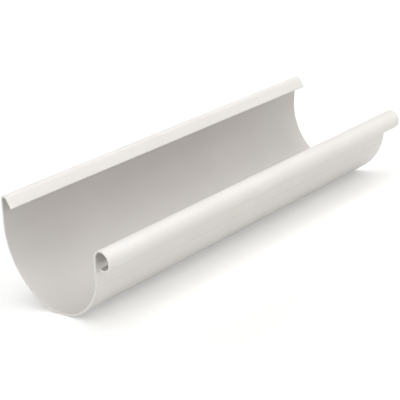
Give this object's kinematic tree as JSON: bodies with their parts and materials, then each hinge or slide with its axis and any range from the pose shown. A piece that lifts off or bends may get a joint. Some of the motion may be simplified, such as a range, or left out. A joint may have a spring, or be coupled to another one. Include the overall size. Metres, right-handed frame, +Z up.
{
  "type": "gutter section",
  "caption": "Short straight length of deep half-round roof gutter in white PVC-U, with an open rolled bead along the front and a folded flange along the rear.",
  "frame": {"origin": "middle of the underside: halfway along the gutter, halfway across its overall width as it lies, on the floor", "axes": "+X along the gutter, -Y towards the front edge with the rolled bead, +Y towards the rear edge with the folded flange, +Z up. The section lies rolled 14.0 degrees about X towards its heavier bead side, as it comes to rest unheld."},
  "size_m": [0.422, 0.1492, 0.1101],
  "materials": {
    "pvc": "smooth extruded PVC-U, slightly warm white, soft gloss"
  },
  "bodies": {
    "root": {"gutter_section": "pvc"}
  },
  "joints": []
}
